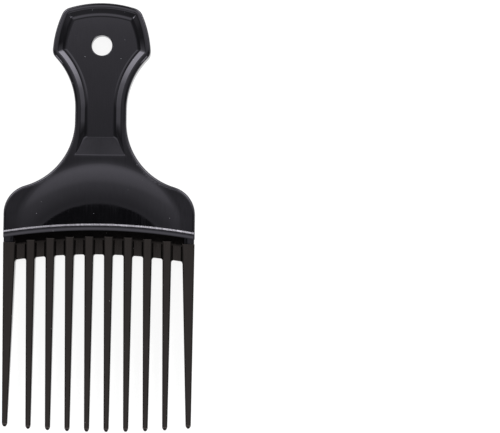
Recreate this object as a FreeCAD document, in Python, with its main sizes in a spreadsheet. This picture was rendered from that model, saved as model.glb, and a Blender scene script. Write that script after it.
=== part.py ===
import FreeCAD, Part
import math
import os

import Sketcher
from FreeCAD import Vector

# A moulded plastic afro pick lying on its back: width along X, handle towards +Y, front face up along +Z.
# Two mouldings make it: a handle with a socket in its curved lower edge, and a ten-tooth comb pushed into it.
# Both are drawn about the crest of the seam, the arc along the handle's lower edge, at half the thickness.
# Levels are distances up the handle from that crest, and drops are distances down towards the tips.

SIZES = {
    # Handle outline, from the seam up: shoulder, straight neck, head
    "shoulder_width": 75.8,
    "shoulder_height": 43.4,
    "shoulder_level": 6.5,
    "shoulder_radius": 11.5,
    "neck_width": 20.4,
    "neck_length": 5.1,
    "neck_radius": 29.4,
    "head_height": 42.2,
    "head_width": 39.1,
    "head_corner_radius": 4.0,
    "side_drop": 21.5,
    "side_radius": 42.0,
    "top_radius": 44.0,
    "top_corner_radius": 4.5,
    "seam_radius": 230.0,
    # Handle thickness: a flat rim, and a round swell on the shoulder that starts below the grip panel.
    # The swell widens with the shoulder and shrinks as the panel's end moves up, so it stays inside the rim.
    "rim_thickness": 7.2,
    "rim_round": 1.4,
    "swell_rise": 0.6,
    "swell_gap": 2.6,
    "swell_run": 15.7,
    "swell_base": 29.3,
    "swell_width_share": 0.35,
    # Recessed grip panel on each face, with a ramp at its lower end
    "rim_width": 2.15,
    "panel_depth": 1.5,
    "panel_wall_run": 2.45,
    "panel_tail": 6.3,
    "panel_floor_flare": 0.3,
    "panel_mouth_flare": 1.8,
    "ramp_run": 7.2,
    # Hang hole, placed from the top of the head
    "hole_diameter": 8.1,
    "hole_drop": 16.9,
    "hole_bevel": 0.45,
    # Bead along the seam, and the blocks that close the socket's ends, both set in from the handle's sides
    "end_inset": 0.2,
    "bead_width": 2.6,
    "bead_rise": 0.5,
    "bead_bevel": 0.7,
    "block_width": 4.0,
    "block_length": 1.65,
    # Socket and the tang that fits it, held by a ridge that snaps into a groove
    "socket_depth": 8.0,
    "socket_clearance": 0.1,
    "tang_end_clearance": 0.3,
    "latch_level": 4.5,
    "latch_inset": 9.6,
    "latch_width": 1.2,
    "latch_height": 0.3,
    # Web between the teeth
    "web_thickness": 3.6,
    "web_drop": 9.4,
    "gap_round": 0.8,
    # Inner teeth
    "rib_drop": 2.2,
    "tip_drop": 79.3,
    "tip_radius": 420.0,
    "root_width": 3.7,
    "root_depth": 5.8,
    "tip_width": 2.05,
    "tip_depth": 2.2,
    "point_length": 1.4,
    "point_width": 1.0,
    "tooth_round": 0.6,
    # Outer teeth: wider than the blocks that they butt against, with a nearly straight outer edge
    "guard_step": 0.9,
    "guard_lean": 0.65,
    # How far every cut runs past the surface that it opens
    "overrun": 2.0,
}
INNER_TEETH_PER_SIDE = 4

# Places and sizes that follow from the ones above
DERIVED = {
    "neck_level": "shoulder_height + neck_length",
    "handle_height": "neck_level + head_height",
    "side_level": "handle_height - side_drop",
    "hole_level": "handle_height - hole_drop",
    "floor_inset": "rim_width + panel_wall_run",
    "floor_end_level": "shoulder_height - panel_tail",
    "floor_end_width": "neck_width + 2 * (panel_floor_flare - floor_inset)",
    "mouth_end_level": "floor_end_level - ramp_run",
    "mouth_end_width": "neck_width + 2 * (panel_mouth_flare - rim_width)",
    "swell_thickness": "rim_thickness + 2 * swell_rise",
    "swell_head": "mouth_end_level - swell_gap",
    "swell_reach": "swell_base + swell_width_share * shoulder_width - swell_head",
    "swell_drop": "swell_reach - swell_head",
    "swell_flat": "swell_reach - swell_run",
    "bead_thickness": "swell_thickness + 2 * bead_rise",
    "block_drop": "seam_radius - sqrt(seam_radius ^ 2 - (shoulder_width / 2) ^ 2) + block_length",
    "socket_width": "shoulder_width - 2 * (end_inset + block_width)",
    "latch_length": "socket_width - 2 * (socket_clearance + latch_inset)",
    "guard_width": "end_inset + block_width + guard_step",
    "tooth_pitch": f"((shoulder_width + root_width) / 2 - guard_width) / ({INNER_TEETH_PER_SIDE} + 0.5)",
}

# How nearly an edge has to lie on a surface to be taken as part of it, as a share of that surface's size
MATCH_SHARE = 0.001
# A wall leans less than this share of its normal towards the faces of the pick
UPRIGHT_SHARE = 0.5

START, END, CENTRE = range(1, 4)
SIDES = (1, -1)
SYMMETRIC = {"SideType": "Symmetric"}
THROUGH = {"SideType": "Symmetric", "Type": "ThroughAll"}


def make_sheet(doc):
    """The sheet of sizes, in millimetres, and of what follows from them."""
    sheet = doc.addObject("Spreadsheet::Sheet", "sizes")
    cells = {**SIZES, **{alias: f"={formula}" for alias, formula in DERIVED.items()}}
    for row, (alias, cell) in enumerate(cells.items(), start=1):
        sheet.set(f"A{row}", alias)
        sheet.set(f"B{row}", str(cell))
        sheet.setAlias(f"B{row}", alias)
    doc.recompute()
    return sheet


def origin_plane(body, role):
    """One of a body's own origin planes."""
    return next(item for item in body.Origin.OriginFeatures if item.Role == role)


def crossing(one, one_radius, two, two_radius):
    """The point with the larger X where two circles cross."""
    gap = two - one
    along = (one_radius**2 - two_radius**2 + gap.Length**2) / (2 * gap.Length)
    aside = math.sqrt(one_radius**2 - along**2)
    unit = Vector(gap).normalize()
    foot = one + unit * along
    side = Vector(-unit.y, unit.x) * aside
    return max(foot + side, foot - side, key=lambda point: point.x)


def towards(centre, point, radius):
    """The point of a circle that lies in the direction of another point."""
    return centre + Vector(point - centre).normalize() * radius


class Drawing:
    """A sketch on one of its body's origin planes, with dimensions that follow the sheet.

    An edge is kept as its number and the ends where it starts and stops along the outline.
    """

    ORIGIN = (-1, START)

    def __init__(self, body, name, role, **shift):
        self.sketch = body.newObject("Sketcher::SketchObject", name)
        self.sketch.AttachmentSupport = (origin_plane(body, role), [""])
        self.sketch.MapMode = "FlatFace"
        for axis, formula in shift.items():
            self.sketch.setExpression(f"AttachmentOffset.Base.{axis}", formula)

    def value(self, formula):
        """The present value of a formula in the sheet's sizes."""
        return float(self.sketch.evalExpression(formula))

    def line(self, first, last):
        return (self.sketch.addGeometry(Part.LineSegment(first, last)), START, END)

    def arc(self, centre, first, last):
        """The shorter arc about a centre from one point to another."""
        spokes = [first - centre, last - centre]
        turns = [math.atan2(spoke.y, spoke.x) for spoke in spokes]
        circle = Part.Circle(centre, Vector(0, 0, 1), spokes[0].Length)
        if (turns[1] - turns[0]) % math.tau < math.pi:
            return (self.sketch.addGeometry(Part.ArcOfCircle(circle, *turns)), START, END)
        return (self.sketch.addGeometry(Part.ArcOfCircle(circle, *reversed(turns))), END, START)

    def rule(self, kind, *references):
        return self.sketch.addConstraint(Sketcher.Constraint(kind, *references))

    def corner(self, one, two):
        self.rule("Coincident", one[0], one[2], two[0], two[1])

    def smooth(self, one, two):
        self.rule("Tangent", one[0], one[2], two[0], two[1])

    def measure(self, kind, formula, *references):
        index = self.rule(kind, *references, self.value(formula))
        self.sketch.setExpression(f"Constraints[{index}]", formula)

    def radius(self, edge, formula):
        self.measure("Radius", formula, edge[0])

    def across(self, edge, end, formula, side=1):
        """A distance from the middle line, to the given side."""
        ends = (self.ORIGIN, (edge[0], end))
        first, last = ends if side > 0 else reversed(ends)
        self.measure("DistanceX", formula, *first, *last)

    def above(self, edge, end, formula):
        self.measure("DistanceY", formula, *self.ORIGIN, edge[0], end)

    def below(self, edge, end, formula):
        self.measure("DistanceY", formula, edge[0], end, *self.ORIGIN)

    def on_middle(self, edge, end):
        self.rule("PointOnObject", edge[0], end, -2)

    def seam_arc(self, formula, half_width):
        """An arc about the seam's centre, from the left edge to the right one."""
        radius = self.value(formula)
        centre = Vector(0, -self.value("sizes.seam_radius"))
        ends = [Vector(side * half_width, centre.y + math.sqrt(radius**2 - half_width**2)) for side in SIDES]
        edge = self.arc(centre, ends[1], ends[0])
        self.on_middle(edge, CENTRE)
        self.below(edge, CENTRE, "sizes.seam_radius")
        self.radius(edge, formula)
        return edge

    def seam_band(self, inner, outer, half):
        """A band along the seam between two radii, cut off square at both sides."""
        half_width = self.value(half)
        upper = self.seam_arc(outer, half_width)
        lower = self.seam_arc(inner, half_width)
        for side, tip in zip(SIDES, (END, START)):
            ends = [self.sketch.getPoint(edge[0], edge[tip]) for edge in (upper, lower)]
            wall = self.line(*ends)
            self.rule("Coincident", upper[0], upper[tip], wall[0], START)
            self.rule("Coincident", lower[0], lower[tip], wall[0], END)
            self.rule("Vertical", wall[0])
            self.across(wall, START, half, side)
        return self

    def polygon(self, corners):
        """A closed run of lines through corners given as formulas for X (none on the middle line) and Y."""
        points = [Vector(self.value(x) if x else 0, self.value(y)) for x, y in corners]
        edges = [self.line(*ends) for ends in zip(points, points[1:] + points[:1])]
        for one, two in zip(edges, edges[1:] + edges[:1]):
            self.corner(one, two)
        for edge, (x, y) in zip(edges, corners):
            if x:
                self.across(edge, START, x)
            else:
                self.on_middle(edge, START)
            self.above(edge, START, y)
        return self

    def round_box(self, left, right, half_height, radius):
        """A rectangle with rounded corners, centred on the sketch's X axis."""
        x_low, x_high, y_high, bend = (self.value(f) for f in (left, right, half_height, radius))
        quarters = [
            (Vector(x_high - bend, y_high - bend), Vector(0, bend), Vector(bend, 0)),
            (Vector(x_high - bend, bend - y_high), Vector(bend, 0), Vector(0, -bend)),
            (Vector(x_low + bend, bend - y_high), Vector(0, -bend), Vector(-bend, 0)),
            (Vector(x_low + bend, y_high - bend), Vector(-bend, 0), Vector(0, bend)),
        ]
        bends = [self.arc(hub, hub + first, hub + last) for hub, first, last in quarters]
        walls = []
        for now, following in zip(quarters, quarters[1:] + quarters[:1]):
            walls.append(self.line(now[0] + now[2], following[0] + following[1]))
        for index, wall in enumerate(walls):
            self.smooth(bends[index], wall)
            self.smooth(wall, bends[(index + 1) % len(bends)])
            self.radius(bends[index], radius)
        right_wall, bottom, left_wall, top = walls
        for wall in (right_wall, left_wall):
            self.rule("Vertical", wall[0])
        for wall in (bottom, top):
            self.rule("Horizontal", wall[0])
        self.across(right_wall, START, right)
        self.across(left_wall, START, left)
        self.above(top, START, half_height)
        self.below(bottom, START, half_height)
        return self


def feature(body, kind, name, settings, formulas, grows):
    """A feature added to the body, which has to make it larger or smaller as it should."""
    before = body.Tip.Shape.Volume if body.Tip else 0
    item = body.newObject(f"PartDesign::{kind}", name)
    for key, setting in settings.items():
        setattr(item, key, setting)
    for key, formula in formulas.items():
        item.setExpression(key, formula)
    body.Tip = item
    body.Document.recompute()
    change = item.Shape.Volume - before
    if (change > 0) != grows or change == 0:
        raise ValueError(f"{name} changes the volume by {change}")
    return item


def mirrored(body, originals, role, grows):
    """The same features on the other side of an origin plane."""
    settings = {"Originals": originals, "MirrorPlane": (origin_plane(body, role), [""])}
    return feature(body, "Mirrored", f"{originals[0].Name}_mirrored", settings, {}, grows)


def softened(body, kind, name, picks, formula, grows):
    """A fillet or chamfer on the edges of the tip that a test picks."""
    base = body.Tip
    names = [f"Edge{number}" for number, edge in enumerate(base.Shape.Edges, start=1) if picks(edge)]
    size = {"Fillet": "Radius", "Chamfer": "Size"}[kind]
    return feature(body, kind, name, {"Base": (base, names)}, {size: formula}, grows)


def middle(edge):
    """The point halfway along an edge."""
    return edge.valueAt((edge.FirstParameter + edge.LastParameter) / 2)


def handle_outline(body, sheet):
    """The handle seen from the front: crowned head, waisted neck, round shoulders, curved lower edge."""
    drawing = Drawing(body, "handle_outline", "XY_Plane")
    neck, shoulder = sheet.neck_width / 2, sheet.shoulder_width / 2
    top = Vector(0, sheet.handle_height - sheet.top_radius)
    flank = Vector(sheet.head_width / 2 - sheet.side_radius, sheet.side_level)
    scoop = Vector(neck + sheet.neck_radius, sheet.neck_level)
    bulge = Vector(shoulder - sheet.shoulder_radius, sheet.shoulder_level)
    crown_bend, cheek_bend = sheet.top_corner_radius, sheet.head_corner_radius
    crown = crossing(top, sheet.top_radius - crown_bend, flank, sheet.side_radius - crown_bend)
    cheek = crossing(flank, sheet.side_radius - cheek_bend, scoop, sheet.neck_radius + cheek_bend)
    step = bulge - Vector(neck, sheet.shoulder_height)
    waist_radius = (step.Length**2 - sheet.shoulder_radius**2) / (2 * (sheet.shoulder_radius + step.x))
    waist = Vector(neck + waist_radius, sheet.shoulder_height)
    points = [
        towards(top, crown, sheet.top_radius),
        towards(flank, crown, sheet.side_radius),
        towards(flank, cheek, sheet.side_radius),
        towards(scoop, cheek, sheet.neck_radius),
        Vector(neck, sheet.neck_level),
        Vector(neck, sheet.shoulder_height),
        towards(waist, bulge, waist_radius),
        Vector(shoulder, sheet.shoulder_level),
        Vector(shoulder, math.sqrt(sheet.seam_radius**2 - shoulder**2) - sheet.seam_radius),
    ]
    centres = [crown, flank, cheek, scoop, None, waist, bulge, None]
    radii = [
        "top_corner_radius", "side_radius", "head_corner_radius", "neck_radius",
        None, None, "shoulder_radius", None,
    ]

    seam = drawing.seam_arc("sizes.seam_radius", shoulder)
    left_end = Vector(-points[0].x, points[0].y)
    arch = drawing.arc(top, left_end, points[0])
    drawing.on_middle(arch, CENTRE)
    drawing.above(arch, CENTRE, "sizes.handle_height - sizes.top_radius")
    drawing.radius(arch, "sizes.top_radius")
    for side, tip in zip(SIDES, (END, START)):
        path = [Vector(side * point.x, point.y) for point in points]
        chain = []
        for first, last, centre, radius in zip(path, path[1:], centres, radii):
            if centre is None:
                chain.append(drawing.line(first, last))
                drawing.rule("Vertical", chain[-1][0])
            else:
                chain.append(drawing.arc(Vector(side * centre.x, centre.y), first, last))
            if radius:
                drawing.radius(chain[-1], f"sizes.{radius}")
        drawing.rule("Tangent", arch[0], arch[tip], chain[0][0], chain[0][1])
        for one, two in zip(chain, chain[1:]):
            drawing.smooth(one, two)
        drawing.rule("Coincident", chain[-1][0], chain[-1][2], seam[0], seam[tip])
        _, flank_arc, _, _, neck_line, _, bulge_arc, _ = chain
        drawing.across(flank_arc, CENTRE, "sizes.side_radius - sizes.head_width / 2", -side)
        drawing.above(flank_arc, CENTRE, "sizes.side_level")
        drawing.across(neck_line, START, "sizes.neck_width / 2", side)
        drawing.above(neck_line, START, "sizes.neck_level")
        drawing.above(neck_line, END, "sizes.shoulder_height")
        drawing.across(bulge_arc, CENTRE, "sizes.shoulder_width / 2 - sizes.shoulder_radius", side)
        drawing.above(bulge_arc, CENTRE, "sizes.shoulder_level")
    return drawing.sketch


def panel_outline(body, sheet, name, inset, level, end_level, end_width):
    """The grip panel's outline: the handle's own arcs moved in, meeting at sharp corners, and a tail."""
    drawing = Drawing(body, name, "XY_Plane", z=level)
    gap = drawing.value(inset)
    neck = sheet.neck_width / 2
    top = Vector(0, sheet.handle_height - sheet.top_radius)
    flank = Vector(sheet.head_width / 2 - sheet.side_radius, sheet.side_level)
    scoop = Vector(neck + sheet.neck_radius, sheet.neck_level)
    waist = Vector(neck - gap, sheet.shoulder_height)
    tail = Vector(drawing.value(end_width) / 2, drawing.value(end_level))
    flare = tail - waist
    tail_centre = waist + Vector(flare.Length**2 / (2 * flare.x), 0)
    points = [
        crossing(top, sheet.top_radius - gap, flank, sheet.side_radius - gap),
        crossing(flank, sheet.side_radius - gap, scoop, sheet.neck_radius + gap),
        Vector(neck - gap, sheet.neck_level),
        waist,
        tail,
    ]
    left = [Vector(-point.x, point.y) for point in points]
    arch = drawing.arc(top, left[0], points[0])
    drawing.on_middle(arch, CENTRE)
    drawing.above(arch, CENTRE, "sizes.handle_height - sizes.top_radius")
    drawing.radius(arch, f"sizes.top_radius - {inset}")
    ramp_edge = drawing.line(left[-1], points[-1])
    for side, tip, path in zip(SIDES, (END, START), (points, left)):
        flank_arc = drawing.arc(Vector(side * flank.x, flank.y), path[0], path[1])
        scoop_arc = drawing.arc(Vector(side * scoop.x, scoop.y), path[1], path[2])
        neck_line = drawing.line(path[2], path[3])
        tail_arc = drawing.arc(Vector(side * tail_centre.x, tail_centre.y), path[3], path[4])
        drawing.rule("Coincident", arch[0], arch[tip], flank_arc[0], flank_arc[1])
        drawing.corner(flank_arc, scoop_arc)
        drawing.smooth(scoop_arc, neck_line)
        drawing.smooth(neck_line, tail_arc)
        drawing.rule("Coincident", tail_arc[0], tail_arc[2], ramp_edge[0], ramp_edge[tip])
        drawing.radius(flank_arc, f"sizes.side_radius - {inset}")
        drawing.across(flank_arc, CENTRE, "sizes.side_radius - sizes.head_width / 2", -side)
        drawing.above(flank_arc, CENTRE, "sizes.side_level")
        drawing.radius(scoop_arc, f"sizes.neck_radius + {inset}")
        drawing.rule("Vertical", neck_line[0])
        drawing.across(neck_line, START, f"sizes.neck_width / 2 - {inset}", side)
        drawing.above(neck_line, START, "sizes.neck_level")
        drawing.above(neck_line, END, "sizes.shoulder_height")
        drawing.across(ramp_edge, ramp_edge[tip], f"{end_width} / 2", side)
        drawing.above(ramp_edge, ramp_edge[tip], end_level)
    return drawing.sketch


def swell_section(body):
    """What is cut away over the handle's face: down to the rim, less a round swell on the shoulder."""
    rim, crest = "sizes.rim_thickness / 2", "sizes.swell_thickness / 2"
    lid = "sizes.bead_thickness / 2 + sizes.overrun"
    far = "sizes.handle_height + sizes.swell_drop + sizes.overrun"
    drawing = Drawing(body, "swell_section", "YZ_Plane", x="-sizes.swell_drop").polygon([
        (None, crest), ("sizes.swell_flat", crest), ("sizes.swell_reach", rim),
        (far, rim), (far, lid), (None, lid),
    ])
    return drawing.sketch


def make_handle(doc, sheet):
    """The handle: head with hang hole, grip panels, swelled shoulder, bead, end blocks and socket."""
    body = doc.addObject("PartDesign::Body", "handle")
    seam_centre = Vector(0, -sheet.seam_radius)

    outline = handle_outline(body, sheet)
    feature(body, "Pad", "blank", {"Profile": outline, **SYMMETRIC}, {"Length": "sizes.bead_thickness"}, True)

    section = swell_section(body)
    turned = {"Profile": section, "ReferenceAxis": (section, ["V_Axis"]), "Angle": 360}
    face = feature(body, "Groove", "face", turned, {}, False)
    mirrored(body, [face], "XY_Plane", False)

    def on_rim(edge):
        point = middle(edge)
        off_seam = abs((Vector(point.x, point.y) - seam_centre).Length - sheet.seam_radius)
        sides = body.Tip.Shape.ancestorsOfType(edge, Part.Face)
        leans = [abs(side.normalAt(*side.Surface.parameter(point)).z) for side in sides]
        is_rim = min(leans) < UPRIGHT_SHARE < max(leans)
        return is_rim and off_seam > MATCH_SHARE * sheet.seam_radius

    softened(body, "Fillet", "rim_round", on_rim, "sizes.rim_round", False)

    mouth = panel_outline(
        body, sheet, "panel_mouth", "sizes.rim_width", "sizes.rim_thickness / 2",
        "sizes.mouth_end_level", "sizes.mouth_end_width")
    floor = panel_outline(
        body, sheet, "panel_floor", "sizes.floor_inset", "sizes.rim_thickness / 2 - sizes.panel_depth",
        "sizes.floor_end_level", "sizes.floor_end_width")
    panel = feature(
        body, "SubtractiveLoft", "panel", {"Profile": mouth, "Sections": [floor], "Ruled": True}, {}, False)
    mirrored(body, [panel], "XY_Plane", False)

    ring = Drawing(body, "hole_ring", "XY_Plane")
    hole_centre = Vector(0, sheet.hole_level)
    circle = (ring.sketch.addGeometry(Part.Circle(hole_centre, Vector(0, 0, 1), sheet.hole_diameter / 2)),)
    ring.on_middle(circle, CENTRE)
    ring.above(circle, CENTRE, "sizes.hole_level")
    ring.radius(circle, "sizes.hole_diameter / 2")
    feature(body, "Pocket", "hang_hole", {"Profile": ring.sketch, **THROUGH}, {}, False)

    def on_hole(edge):
        if not isinstance(edge.Curve, Part.Circle):
            return False
        off_centre = (Vector(edge.Curve.Center.x, edge.Curve.Center.y) - hole_centre).Length
        return off_centre < MATCH_SHARE * sheet.hole_diameter

    softened(body, "Chamfer", "hole_bevel", on_hole, "sizes.hole_bevel", False)

    inner, outer = "sizes.seam_radius", "sizes.seam_radius + sizes.bead_width"
    high = "sizes.bead_thickness / 2"
    bead = Drawing(body, "bead_section", "YZ_Plane", x="-sizes.seam_radius").polygon([
        (inner, f"{high} - sizes.bead_bevel"), (f"{inner} + sizes.bead_bevel", high),
        (f"{outer} - sizes.bead_bevel", high), (outer, f"{high} - sizes.bead_bevel"),
        (outer, f"sizes.bead_bevel - {high}"), (f"{outer} - sizes.bead_bevel", f"-{high}"),
        (f"{inner} + sizes.bead_bevel", f"-{high}"), (inner, f"sizes.bead_bevel - {high}"),
    ])
    swept = {"Profile": bead.sketch, "ReferenceAxis": (bead.sketch, ["V_Axis"]), "Midplane": True}
    reach = "2 * asin((sizes.shoulder_width / 2 - sizes.end_inset) / (sizes.seam_radius + sizes.bead_width))"
    feature(body, "Revolution", "bead", swept, {"Angle": reach}, True)

    blocks = Drawing(body, "block_sections", "XZ_Plane", z="-sizes.bead_width")
    for side in SIDES:
        edges = ["sizes.socket_width / 2", "sizes.shoulder_width / 2 - sizes.end_inset"]
        left, right = edges if side > 0 else [f"-({edge})" for edge in reversed(edges)]
        blocks.round_box(left, right, "sizes.root_depth / 2", "sizes.tooth_round")
    feature(
        body, "Pad", "end_blocks", {"Profile": blocks.sketch},
        {"Length": "sizes.bead_width + sizes.block_drop"}, True)

    socket = Drawing(body, "socket_band", "XY_Plane").seam_band(
        "sizes.seam_radius - sizes.overrun", "sizes.seam_radius + sizes.socket_depth",
        "sizes.socket_width / 2")
    feature(
        body, "Pocket", "socket", {"Profile": socket.sketch, **SYMMETRIC},
        {"Length": "sizes.web_thickness + 2 * sizes.socket_clearance"}, False)
    groove = latch_band(body, "latch_groove_band", "sizes.socket_clearance")
    feature(
        body, "Pocket", "latch_groove", {"Profile": groove, **SYMMETRIC},
        {"Length": "sizes.web_thickness + 2 * (sizes.latch_height + sizes.socket_clearance)"}, False)
    return body


def latch_band(body, name, room):
    """The band along the seam that the snap ridge fills, with room round it in the socket."""
    return Drawing(body, name, "XY_Plane").seam_band(
        f"sizes.seam_radius + sizes.latch_level - sizes.latch_width / 2 - {room}",
        f"sizes.seam_radius + sizes.latch_level + sizes.latch_width / 2 + {room}",
        f"sizes.latch_length / 2 + {room}").sketch


def tooth_front(top, tip, root_edges, tip_edges):
    """The corners of a tapered tooth seen from the front, from its rib end to its tip."""
    drops = (top, top, tip, tip)
    return [(x, f"-({drop})") for x, drop in zip((*root_edges, *reversed(tip_edges)), drops)]


def tip_bevels(tip, tip_edges):
    """The corners of what is cut off both sides of a tip to leave a blunt point."""
    bevel = "(sizes.tip_width - sizes.point_width) / 2"
    below = f"-({tip}) - sizes.overrun"
    cuts = []
    for inward, outward, edge in zip("+-", "-+", tip_edges):
        point, clear = f"{edge} {inward} {bevel}", f"{edge} {outward} {bevel}"
        start = f"2 * sizes.point_length - ({tip})"
        cuts.append([(point, f"-({tip})"), (point, below), (clear, below), (clear, start)])
    return cuts


def sagitta(radius, place):
    """How far an arc falls from its crest at a place along X."""
    return f"({radius} - sqrt({radius}^2 - ({place})^2))"


def make_comb(doc, sheet):
    """The comb: tang with its snap ridge, web, eight inner teeth and two wider outer ones."""
    body = doc.addObject("PartDesign::Body", "tooth_comb")
    seam_centre = Vector(0, -sheet.seam_radius)

    web = Drawing(body, "web_band", "XY_Plane").seam_band(
        "sizes.seam_radius - sizes.web_drop",
        "sizes.seam_radius + sizes.socket_depth - sizes.tang_end_clearance",
        "sizes.socket_width / 2 - sizes.socket_clearance")
    feature(body, "Pad", "web", {"Profile": web.sketch, **SYMMETRIC}, {"Length": "sizes.web_thickness"}, True)
    ridge = latch_band(body, "latch_ridge_band", "0")
    feature(
        body, "Pad", "latch_ridge", {"Profile": ridge, **SYMMETRIC},
        {"Length": "sizes.web_thickness + 2 * sizes.latch_height"}, True)

    outlines, bevels = [], []
    for number in range(INNER_TEETH_PER_SIDE):
        place = f"sizes.tooth_pitch * {number + 0.5}"
        top = f"sizes.rib_drop + {sagitta('sizes.seam_radius', place)}"
        tip = f"sizes.tip_drop - {sagitta('sizes.tip_radius', place)}"
        root_edges, tip_edges = (
            [f"{place} {sign} sizes.{width} / 2" for sign in "-+"] for width in ("root_width", "tip_width"))
        outlines.append(tooth_front(top, tip, root_edges, tip_edges))
        bevels += tip_bevels(tip, tip_edges)
    edge = "sizes.shoulder_width / 2"
    guard_tip = f"sizes.tip_drop - {sagitta('sizes.tip_radius', edge)}"
    guard_edges = [f"{edge} - sizes.guard_width", edge]
    guard_tip_edges = [f"{edge} - sizes.guard_lean - sizes.tip_width", f"{edge} - sizes.guard_lean"]
    outlines.append(tooth_front("sizes.block_drop", guard_tip, guard_edges, guard_tip_edges))
    bevels += tip_bevels(guard_tip, guard_tip_edges)

    front = Drawing(body, "tooth_fronts", "XY_Plane")
    for corners in outlines:
        front.polygon(corners)
    teeth = feature(
        body, "Pad", "teeth", {"Profile": front.sketch, **SYMMETRIC}, {"Length": "sizes.root_depth"}, True)
    mirrored(body, [teeth], "YZ_Plane", True)

    end, high = "-sizes.tip_drop - sizes.overrun", "sizes.root_depth / 2 + sizes.overrun"
    side = Drawing(body, "taper_side", "YZ_Plane").polygon([
        ("-sizes.rib_drop", "sizes.root_depth / 2"), ("-sizes.tip_drop", "sizes.tip_depth / 2"),
        (end, "sizes.tip_depth / 2"), (end, high), ("-sizes.rib_drop", high),
    ])
    taper = feature(body, "Pocket", "taper", {"Profile": side.sketch, **THROUGH}, {}, False)
    mirrored(body, [taper], "XY_Plane", False)

    def on_tooth(edge):
        return middle(edge).y < -sheet.tip_drop / 2 and edge.Length > sheet.web_drop

    softened(body, "Fillet", "tooth_round", on_tooth, "sizes.tooth_round", False)

    sides = Drawing(body, "tip_sides", "XY_Plane")
    for corners in bevels:
        sides.polygon(corners)
    points = feature(body, "Pocket", "points", {"Profile": sides.sketch, **THROUGH}, {}, False)
    mirrored(body, [points], "YZ_Plane", False)

    def in_gap(edge):
        point = middle(edge)
        web_radius = sheet.seam_radius - sheet.web_drop
        off_web = abs((Vector(point.x, point.y) - seam_centre).Length - web_radius)
        off_length = abs(edge.Length - sheet.web_thickness)
        return off_web < MATCH_SHARE * web_radius and off_length < MATCH_SHARE * sheet.web_thickness

    softened(body, "Fillet", "gap_round", in_gap, "sizes.gap_round", True)
    return body


def main():
    doc = FreeCAD.newDocument("afro_pick")
    sheet = make_sheet(doc)
    bodies = [make_handle(doc, sheet), make_comb(doc, sheet)]
    # The origin is under the middle of the pick, on the surface that its back lies on.
    for body in bodies:
        body.setExpression("Placement.Base.y", "(sizes.tip_drop - sizes.handle_height) / 2")
        body.setExpression("Placement.Base.z", "sizes.bead_thickness / 2")
    doc.recompute()
    failed = [item.Name for item in doc.Objects if {"Invalid", "Error"} & set(item.State)]
    if failed:
        raise ValueError(f"not built: {failed}")
    for body in bodies:
        if body.Shape.isNull() or not body.Shape.isValid() or len(body.Shape.Solids) != 1:
            raise ValueError(f"{body.Label} isn't one sound solid")
    os.makedirs("parts", exist_ok=True)
    for body in bodies:
        body.Shape.exportStep(f"parts/{body.Label}.step")
        print(body.Label, body.Shape.BoundBox, round(body.Shape.Volume, 2))


main()
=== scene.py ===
import logging
import math
from dataclasses import dataclass
from enum import Enum
from typing import Any, Iterable

import bmesh
import bpy
from bmesh.types import BMEdge, BMesh, BMFace, BMVert
from mathutils import Matrix, Vector


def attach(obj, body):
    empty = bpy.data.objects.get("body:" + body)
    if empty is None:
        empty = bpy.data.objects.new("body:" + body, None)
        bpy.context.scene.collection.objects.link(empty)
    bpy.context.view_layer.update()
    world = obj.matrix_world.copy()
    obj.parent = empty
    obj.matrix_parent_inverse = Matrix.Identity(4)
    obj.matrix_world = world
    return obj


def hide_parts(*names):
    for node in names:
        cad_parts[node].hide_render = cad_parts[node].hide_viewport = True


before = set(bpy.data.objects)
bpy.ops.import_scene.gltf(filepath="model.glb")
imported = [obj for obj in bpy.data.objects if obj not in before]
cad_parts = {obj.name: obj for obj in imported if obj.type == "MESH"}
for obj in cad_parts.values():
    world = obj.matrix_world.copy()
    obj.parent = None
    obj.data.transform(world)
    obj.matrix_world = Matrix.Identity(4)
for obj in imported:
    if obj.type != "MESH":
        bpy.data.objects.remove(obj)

log = logging.getLogger("afro_pick")

MM = 0.001
# The seam's crest and the mid-thickness in the frame, in millimetres.
SEAM_Y = -5.7
MID_Z = 4.7
UP = Vector((0.0, 0.0, 1.0))
RIGHT = Vector((1.0, 0.0, 0.0))
AHEAD = Vector((0.0, 1.0, 0.0))
# Distances below this, in millimetres, count as none.
TIDY = 1e-4
# A level face's normal has at least this upward share, and an upright wall's at most this one.
FLAT = 0.9999
UPRIGHT = 0.1
# Upward shares of the normals of the outer walls, all the panel's slopes, its walls and its ramp.
OUTER_SLOPES = (0.0, UPRIGHT)
PANEL_SLOPES = (0.3, 0.99)
WALL_SLOPES = (0.3, 0.95)
RAMP_SLOPES = (0.95, 0.99)
# Edges in the arcs of the handle's outline, of its hang hole and of its bead.
TOP_STEPS = 22
CORNER_STEPS = 6
SIDE_STEPS = 18
TAIL_STEPS = 12
SHOULDER_STEPS = 14
SEAM_STEPS = 32
HOLE_STEPS = 20
LIP_STEPS = 5
BEAD_STEPS = 16
SWEEP_STEPS = 180
# Edges in the arcs of the comb's web: each arch, its corners and the web's upper line.
ARCH_STEPS = 8
GAP_STEPS = 5
WEB_STEPS = 24
# Faces across a wide round, a block's, a rib end's and a narrow edge's.
ROUND_SEGMENTS = 6
BLOCK_SEGMENTS = 4
RIB_SEGMENTS = 5
EDGE_SEGMENTS = 3
# Shares of a tooth's point at which its section narrows.
POINT_STEPS = (0.35, 0.65, 0.87, 1.0)
PLASTIC_IOR = 1.52
# Noise values between which the plastic goes from fresh to worn.
WEAR_RANGE = (0.18, 0.42)
# Shares of a speck's cell between which dust thins out to none.
SPECK_RANGE = (0.018, 0.04)
# The rubs' width as a share of their length.
RUB_SHARE = 0.06
SENSOR_WIDTH = 36.0
CARD_STEPS = 96


class Slot(Enum):
    """The names of the record's material slots for the handle and the comb."""

    HANDLE = "handle_plastic"
    COMB = "comb_plastic"


class Mirror(Enum):
    """The planes that halves and quarters of a piece are mirrored over."""

    SIDES = "X"
    FACES = "Z"


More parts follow.
